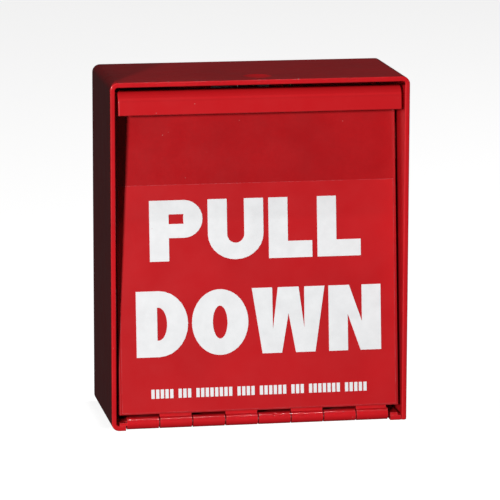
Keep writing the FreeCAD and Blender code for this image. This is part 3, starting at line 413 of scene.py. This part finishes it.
def skin(bm, rings, closed_ends=True):
    """Joins rings of points into a tube, with a face over each end."""
    loops = [[bm.verts.new(point) for point in ring] for ring in rings]
    for lower, upper in zip(loops, loops[1:]):
        for index in range(len(lower)):
            after = (index + 1) % len(lower)
            bm.faces.new((lower[index], lower[after], upper[after], upper[index]))
    if closed_ends:
        bm.faces.new(loops[0][::-1])
        bm.faces.new(loops[-1])


def soften(name, width, segments=2):
    """Breaks the sharp edges of a CAD node, as tumbling, moulding or paint does."""
    item = nodes[name]
    weld = item.modifiers.new("weld", "WELD")
    weld.merge_threshold = 0.001 * MM
    flat = item.modifiers.new("flat", "DECIMATE")
    flat.decimate_type = "DISSOLVE"
    flat.angle_limit = math.radians(1)
    bevel = item.modifiers.new("bevel", "BEVEL")
    bevel.width = width
    bevel.segments = segments
    bevel.limit_method = "ANGLE"
    bevel.angle_limit = math.radians(40)
    normals = item.modifiers.new("normals", "WEIGHTED_NORMAL")
    normals.keep_sharp = True


# ---- the label's lettering ----

def arc(centre, across, up, start, end, steps):
    """Points on an ellipse between two angles in degrees."""
    return [(centre[0] + across * math.cos(math.radians(start + (end - start) * i / steps)),
             centre[1] + up * math.sin(math.radians(start + (end - start) * i / steps)))
            for i in range(steps + 1)]


ARC_STEPS = 14
PLAIN_WIDTHS = {"P": 0.80, "U": 0.84, "L": 0.66, "D": 0.86, "O": 0.94, "W": 1.22, "N": 0.88}


def letter(shape, w, s, h=1.0):
    """Outlines of a heavy block capital of width w and height h with strokes s: the first is solid."""
    r = h / 2
    if shape == "L":
        return [[(0, 0), (w, 0), (w, s * 0.86), (s, s * 0.86), (s, h), (0, h)]]
    if shape == "P":
        low = h * 0.38
        bowl = (h - low) / 2
        middle = low + bowl
        outer = [(0, 0), (s, 0), (s, low), *arc((w - bowl, middle), bowl, bowl, -90, 90, ARC_STEPS), (0, h)]
        thin = s * 0.72
        hole = [(s, low + thin), *arc((w - bowl, middle), bowl - s, bowl - thin, -90, 90, ARC_STEPS),
                (s, h - thin)]
        return [outer, hole]
    if shape == "D":
        outer = [(0, 0), *arc((w - r * 0.9, r), r * 0.9, r, -90, 90, ARC_STEPS), (0, h)]
        thin = s * 0.78
        hole = [(s, thin), *arc((w - r * 0.9, r), r * 0.9 - s, r - thin, -90, 90, ARC_STEPS), (s, h - thin)]
        return [outer, hole]
    if shape == "O":
        outer = arc((w / 2, r), w / 2, r, 0, 360, ARC_STEPS * 3)[:-1]
        hole = arc((w / 2, r), w / 2 - s, r - s * 0.78, 0, 360, ARC_STEPS * 3)[:-1]
        return [outer, hole]
    if shape == "U":
        bend = h * 0.42
        inner = w / 2 - s
        return [[(0, h), *arc((w / 2, bend), w / 2, bend, 180, 360, ARC_STEPS), (w, h), (w - s, h),
                 *arc((w / 2, bend), inner, bend - s * 0.85, 360, 180, ARC_STEPS), (s, h)]]
    if shape == "N":
        return [[(0, 0), (s * 0.92, 0), (s * 0.92, h * 0.56), (w - s, 0), (w, 0), (w, h),
                 (w - s * 0.92, h), (w - s * 0.92, h * 0.44), (s, h), (0, h)]]
    if shape == "W":
        foot = w * 0.27
        half = s * 0.47
        peak = s * 0.5
        return [[(foot - half, 0), (foot + half, 0), (w / 2, h * 0.60), (w - foot - half, 0),
                 (w - foot + half, 0), (w, h), (w - s * 0.98, h), (w - foot - half * 0.1, h * 0.36),
                 (w / 2 + peak, h), (w / 2 - peak, h), (foot + half * 0.1, h * 0.36), (s * 0.98, h),
                 (0, h)]]
    raise ValueError(shape)


def slab(bm, outlines, place, depth):
    """A flat slab of one outline with holes: place turns a point and a depth into a spot."""
    fill = bmesh.new()
    for line in outlines:
        corners = [fill.verts.new((x, y, 0)) for x, y in line]
        for index, corner in enumerate(corners):
            fill.edges.new((corner, corners[(index + 1) % len(corners)]))
    bmesh.ops.triangle_fill(fill, edges=fill.edges[:], use_beauty=True, use_dissolve=False)
    for level in (0.0, depth):
        made = {corner: bm.verts.new(place(corner.co.x, corner.co.y, level)) for corner in fill.verts}
        for face in fill.faces:
            bm.faces.new([made[corner] for corner in face.verts])
        if level == 0.0:
            below = made
    for edge in fill.edges:
        if len(edge.link_faces) == 1:
            first, second = edge.verts
            bm.faces.new((below[first], below[second], made[second], made[first]))
    fill.free()


def door_plane():
    """Two functions for the shut door: the first turns (x, height up the door, depth in front of the
    label) into a place, the second turns a height above the origin into a height up the door."""
    hinge = Vector(joints["door_hinge"]["pos_m"])
    out = Vector((0, -math.cos(DOOR_TILT), math.sin(DOOR_TILT)))
    up = Vector((0, math.sin(DOOR_TILT), math.cos(DOOR_TILT)))
    front = max((vertex.co - hinge).dot(out) for vertex in nodes["door_decal"].data.vertices)

    def place(x, rise, depth=0.0):
        return Vector((x, 0, 0)) + hinge.project(Vector((0, 1, 0))) + hinge.project(Vector((0, 0, 1))) \
            + up * rise + out * (front + depth)

    def rise_at(z):
        """How far up the door a height above the origin lies."""
        return (z - hinge.z - out.z * front) / up.z

    return place, rise_at


def lettering():
    place, rise_at = door_plane()
    for number, word in enumerate((FIRST_WORD, SECOND_WORD)):
        low, high = rise_at(word["low"] * MM), rise_at(word["high"] * MM)
        tall = high - low
        widths = [PLAIN_WIDTHS[shape] for shape in word["text"]]
        spare = (word["right"] - word["left"] - word["gap"] * (len(widths) - 1)) * MM
        grow = spare / sum(widths)
        left = word["left"] * MM
        for index, shape in enumerate(word["text"]):
            wide = PLAIN_WIDTHS[shape] * grow
            lines = [[(left + x * tall, low + y * tall) for x, y in line]
                     for line in letter(shape, wide / tall, STROKE)]
            mesh = mesh_of(f"capital_{number}_{index}", lambda bm, lines=lines: slab(bm, lines, place, INK))
            piece(f"label_capital_{number + 1}_{index + 1}", mesh, ink, "door")
            left += wide + word["gap"] * MM
    low, high = rise_at(SMALL_PRINT["low"] * MM), rise_at(SMALL_PRINT["high"] * MM)

    def dashes(bm):
        left = SMALL_PRINT["left"]
        for count in SMALL_WORDS:
            for _ in range(count):
                right = left + SMALL_PRINT["dash"]
                corners = [(left * MM, low), (right * MM, low), (right * MM, high), (left * MM, high)]
                slab(bm, [corners], place, INK)
                left = right + SMALL_PRINT["gap"]
            left += SMALL_PRINT["space"] - SMALL_PRINT["gap"]

    piece("label_small_print", mesh_of("label_small_print", dashes), ink, "door")


# ---- the return spring ----

def tube(points, radius, sides):
    """Rings round a path, turned as little as possible from one to the next."""
    rings = []
    side = None
    for index, point in enumerate(points):
        ahead = points[min(index + 1, len(points) - 1)]
        behind = points[max(index - 1, 0)]
        along = (ahead - behind).normalized()
        if side is None:
            side = along.orthogonal().normalized()
        side = (side - along * side.dot(along)).normalized()
        other = along.cross(side)
        rings.append([point + (side * math.cos(angle) + other * math.sin(angle)) * radius
                      for angle in (2 * math.pi * step / sides for step in range(sides))])
    return rings


def return_spring():
    """A closely wound torsion spring: one leg on the bracket's base, the other hooked into the lever."""
    low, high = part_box("lever_spring")
    pivot = Vector(joints["lever_pivot"]["pos_m"])
    radius = high.z - pivot.z - WIRE_RADIUS
    start_x = low.x + WIRE_RADIUS
    end_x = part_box("lock_lever")[0].x - SPRING_END_GAP
    points = [Vector((start_x, high.y - (high.y - pivot.y) * step / 8, pivot.z + radius))
              for step in range(8)]
    count = round(SPRING_TURNS * STEPS_PER_TURN)
    for step in range(count + 1):
        share = step / count
        angle = math.pi / 2 + share * SPRING_TURNS * 2 * math.pi
        points.append(Vector((start_x + (end_x - start_x) * share, pivot.y + radius * math.cos(angle),
                              pivot.z + radius * math.sin(angle))))
    foot = low.z + WIRE_RADIUS
    corner = Vector((end_x + WIRE_BEND, pivot.y - radius, foot + WIRE_BEND))
    for step in range(1, 9):
        points.append(Vector((end_x, corner.y, pivot.z + (corner.z - pivot.z) * step / 8)))
    for step in range(1, 7):
        angle = math.pi / 2 * step / 6
        points.append(Vector((corner.x - WIRE_BEND * math.cos(angle), corner.y,
                              corner.z - WIRE_BEND * math.sin(angle))))
    for step in range(1, 4):
        points.append(Vector((corner.x + (high.x - corner.x) * step / 3, corner.y, foot)))
    mesh = mesh_of("return_spring_helix", lambda bm: skin(bm, tube(points, WIRE_RADIUS, WIRE_SIDES)), 60)
    spring = piece("return_spring_helix", mesh, finishes["spring_steel"], None)
    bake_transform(spring)
    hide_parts("lever_spring")


# ---- threads ----

def threaded(bm, start, end, radius, pitch, depth, chamfer):
    """A screw thread between two points, with a chamfer at the far end."""
    along = (end - start).normalized()
    side = along.orthogonal().normalized()
    other = along.cross(side)
    length = (end - start).length
    rows = max(4, round(length / pitch * 6))
    rings = []
    for row in range(rows + 1):
        reach = length * row / rows
        limit = radius - max(0.0, reach - (length - chamfer))
        fade = min(1.0, reach / pitch)
        ring = []
        for index in range(THREAD_SIDES):
            turn = index / THREAD_SIDES
            phase = (reach / pitch - turn) % 1.0
            groove = abs(phase * 2 - 1)
            distance = min(limit, radius - depth * groove * fade)
            angle = 2 * math.pi * turn
            ring.append(start + along * reach + (side * math.cos(angle) + other * math.sin(angle)) * distance)
        rings.append(ring)
    skin(bm, rings)


def turned(bm, start, along, profile, sides=40):
    """A turned piece: the profile is (distance along the axis, radius)."""
    side = along.orthogonal().normalized()
    other = along.cross(side)
    rings = [[start + along * reach + (side * math.cos(2 * math.pi * i / sides)
                                       + other * math.sin(2 * math.pi * i / sides)) * radius
              for i in range(sides)] for reach, radius in profile]
    skin(bm, rings)


def studs():
    """Weld studs: a flange that is fused into the back panel, and a threaded shank."""
    def build(bm):
        for low, high in islands("weld_studs"):
            middle = (low + high) / 2
            start = Vector((middle.x, high.y, middle.z))
            out = Vector((0, -1, 0))
            flange = (high.x - low.x) / 2
            seat = -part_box("back_panel")[0].y
            total = high.y - low.y
            turned(bm, start, out, [(0, flange - 0.25 * MM), (0.2 * MM, flange - 0.02 * MM),
                                    (seat - 0.15 * MM, flange - 0.02 * MM), (seat, flange - 0.2 * MM)])
            threaded(bm, start + out * (seat - 0.3 * MM), start + out * total, STUD_RADIUS - 0.01 * MM,
                     STUD_PITCH, THREAD_DEPTH, THREAD_CHAMFER)
    made = piece("threaded_weld_studs", mesh_of("threaded_weld_studs", build), finishes["plated_steel"],
                 "case")
    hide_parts("weld_studs")


# ---- welds ----

def bead(bm, corner, along, first, second, length, leg):
    """A rippled fillet weld in the corner between two plates."""
    rows = max(6, round(length / BEAD_STEP * 6))
    rings = []
    for row in range(rows + 1):
        reach = length * row / rows
        end = min(1.0, min(reach, length - reach) / (leg * 0.8))
        swell = (0.45 + 0.55 * math.sqrt(end)) * (0.93 + 0.07 * abs(math.sin(math.pi * reach / BEAD_STEP)))
        size = leg * swell
        at = corner + along * reach
        ring = [at]
        for step in range(BEAD_ARC + 1):
            angle = math.pi / 2 * step / BEAD_ARC
            bulge = 0.78 + 0.10 * math.sin(2 * angle)
            reach_out = size * (bulge if 0 < step < BEAD_ARC else 1.0)
            ring.append(at + first * math.cos(angle) * reach_out + second * math.sin(angle) * reach_out)
        rings.append(ring)
    skin(bm, rings)


def welds():
    def seam(bm):
        low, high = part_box("seam_weld")
        bead(bm, Vector((high.x, low.y, low.z)), Vector((0, 1, 0)), Vector((-1, 0, 0)), Vector((0, 0, 1)),
             high.y - low.y, high.x - low.x)

    def tacks(bm):
        for low, high in islands("back_tack_welds"):
            right = low.x > 0
            corner = Vector((high.x if right else low.x, high.y, low.z))
            bead(bm, corner, Vector((0, 0, 1)), Vector((-1 if right else 1, 0, 0)), Vector((0, -1, 0)),
                 high.z - low.z, high.x - low.x)

    made = piece("rippled_seam_weld", mesh_of("rippled_seam_weld", seam), finishes["red_paint"], "case")
    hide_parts("seam_weld")
    made = piece("rippled_tack_welds", mesh_of("rippled_tack_welds", tacks), finishes["red_paint"], "case")
    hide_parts("back_tack_welds")


# ---- the room ----

def camera():
    view = Vector((math.sin(VIEW_LEFT) * math.cos(VIEW_UP), math.cos(VIEW_LEFT) * math.cos(VIEW_UP),
                   -math.sin(VIEW_UP)))
    right = Vector((math.cos(VIEW_LEFT), -math.sin(VIEW_LEFT), 0))
    above = right.cross(view)
    across = right * math.cos(VIEW_ROLL) + above * math.sin(VIEW_ROLL)
    up = above * math.cos(VIEW_ROLL) - right * math.sin(VIEW_ROLL)
    data = bpy.data.cameras.new("camera")
    data.lens = LENS
    data.sensor_width = SENSOR
    data.clip_start = 0.05
    data.clip_end = 50
    made = bpy.data.objects.new("camera", data)
    axes = Matrix((across, up, -view)).transposed().to_4x4()
    made.matrix_world = Matrix.Translation(VIEW_AIM - view * VIEW_DISTANCE) @ axes
    bpy.context.scene.collection.objects.link(made)
    bpy.context.scene.camera = made


def area_light(name, left, up, distance, size, power, shiny=True):
    """A rectangular light aimed at the box: left and up are its angles from straight ahead of it.

    A light that isn't shiny leaves no reflection."""
    data = bpy.data.lights.new(name, "AREA")
    data.shape = "RECTANGLE"
    data.size, data.size_y = size
    data.energy = power
    made = bpy.data.objects.new(name, data)
    left, up = math.radians(left), math.radians(up)
    way = Vector((-math.sin(left) * math.cos(up), -math.cos(left) * math.cos(up), math.sin(up)))
    made.location = way * distance
    made.rotation_mode = "QUATERNION"
    made.rotation_quaternion = way.to_track_quat("Z", "Y")
    made.visible_glossy = shiny
    bpy.context.scene.collection.objects.link(made)


def floor():
    """A plain pale floor, far enough down for the open door, that fades into the white surroundings."""
    low, high = cad_box
    mesh = bpy.data.meshes.new("floor")
    level = low[2] - (high[2] - low[2])
    mesh.from_pydata([(-FLOOR_REACH, -FLOOR_REACH, level), (FLOOR_REACH, -FLOOR_REACH, level),
                      (FLOOR_REACH, FLOOR_REACH, level), (-FLOOR_REACH, FLOOR_REACH, level)],
                     [], [(0, 1, 2, 3)])
    made = bpy.data.objects.new("floor", mesh)
    bpy.context.scene.collection.objects.link(made)
    s = Surface("pale_floor", Roughness=0.9, Specular_IOR_Level=0.1, Emission_Color=(1, 1, 1, 1),
                Emission_Strength=0.8)
    s.set(Base_Color=(0.85, 0.85, 0.85, 1))
    mesh.materials.append(s.material)
    made.visible_glossy = False
    made.visible_diffuse = False


def contact_shade():
    """The faint shade beside the foot of the box, on an otherwise clear sheet."""
    low, high = cad_box
    left, right = low[0] - SHADE_REACH, low[0] + SHADE_REACH
    level = low[2] - 0.1 * MM
    mesh = bpy.data.meshes.new("contact_shade")
    mesh.from_pydata([(left, low[1], level), (right, low[1], level),
                      (right, high[1], level), (left, high[1], level)], [], [(0, 1, 2, 3)])
    made = bpy.data.objects.new("contact_shade", mesh)
    bpy.context.scene.collection.objects.link(made)
    s = Surface("contact_shade_grey", Roughness=1.0, Specular_IOR_Level=0.0)
    near = s.fit(s.coordinate(0), left, low[0], 0, SHADE_DEPTH, True)
    ahead = s.fit(s.coordinate(1), low[1], low[1] + SHADE_REACH, 0, 1, True)
    s.set(Base_Color=(0.2, 0.2, 0.2, 1), Alpha=s.math("MULTIPLY", near, ahead))
    mesh.materials.append(s.material)
    made.visible_shadow = False
    made.visible_glossy = False
    made.visible_diffuse = False


def flags():
    """Gauze that keeps most of the key light off the left side and out of the gap over the lip."""
    low, high = cad_box
    side = low[0] - SIDE_FLAG_AWAY
    front = low[1] - SIDE_FLAG_AWAY * KEY_SLOPE
    foot, top = low[2] - SIDE_FLAG_BELOW, high[2] + SIDE_FLAG_ABOVE
    flag("side_flag", [(side, front, foot), (side, SIDE_FLAG_BEHIND, foot),
                       (side, SIDE_FLAG_BEHIND, top), (side, front, top)], SIDE_FLAG_PASSES)
    ahead = low[1] - GAP_FLAG_AWAY
    left, right, roof = low[0] + GAUGE, high[0] - GAUGE - GAP_FLAG_AWAY, high[2] - GAUGE
    flag("gap_flag", [(left, ahead, roof - GAP_FLAG_HEIGHT), (right, ahead, roof - GAP_FLAG_HEIGHT),
                      (right, ahead, roof), (left, ahead, roof)], GAP_FLAG_PASSES)


def flag(name, corners, passed):
    """A sheet that no camera sees and that lets the given share of the light through."""
    mesh = bpy.data.meshes.new(name)
    mesh.from_pydata(corners, [], [(0, 1, 2, 3)])
    made = bpy.data.objects.new(name, mesh)
    bpy.context.scene.collection.objects.link(made)
    material = bpy.data.materials.new(f"{name}_gauze")
    material.use_nodes = True
    tree = material.node_tree
    tree.nodes.clear()
    gauze = tree.nodes.new("ShaderNodeBsdfTransparent")
    gauze.inputs["Color"].default_value = (passed, passed, passed, 1)
    out = tree.nodes.new("ShaderNodeOutputMaterial")
    tree.links.new(gauze.outputs["BSDF"], out.inputs["Surface"])
    mesh.materials.append(material)
    made.visible_camera = False
    made.visible_glossy = False
    made.visible_diffuse = False


def surroundings():
    """White where the camera looks past the box, dim where the box itself looks."""
    world = bpy.data.worlds.new("surroundings")
    world.use_nodes = True
    tree = world.node_tree
    tree.nodes.clear()
    seen = tree.nodes.new("ShaderNodeBackground")
    seen.inputs["Color"].default_value = (1, 1, 1, 1)
    lit = tree.nodes.new("ShaderNodeBackground")
    lit.inputs["Color"].default_value = (0.028, 0.026, 0.026, 1)
    rays = tree.nodes.new("ShaderNodeLightPath")
    mix = tree.nodes.new("ShaderNodeMixShader")
    out = tree.nodes.new("ShaderNodeOutputWorld")
    tree.links.new(rays.outputs["Is Camera Ray"], mix.inputs["Fac"])
    tree.links.new(lit.outputs["Background"], mix.inputs[1])
    tree.links.new(seen.outputs["Background"], mix.inputs[2])
    tree.links.new(mix.outputs["Shader"], out.inputs["Surface"])
    bpy.context.scene.world = world


camera()
surroundings()
floor()
contact_shade()
flags()
area_light("key", left=30, up=11, distance=1.9, size=(0.17, 0.17), power=35)
area_light("overhead_strip", left=0, up=78, distance=1.9, size=(0.9, 0.03), power=7)
area_light("right_fill", left=-110, up=15, distance=2.0, size=(1.2, 1.0), power=8, shiny=False)
bpy.context.scene.view_settings.view_transform = "Standard"

lettering()
return_spring()
studs()
welds()
for name, width in EDGE_WIDTHS.items():
    soften(name, width * MM)
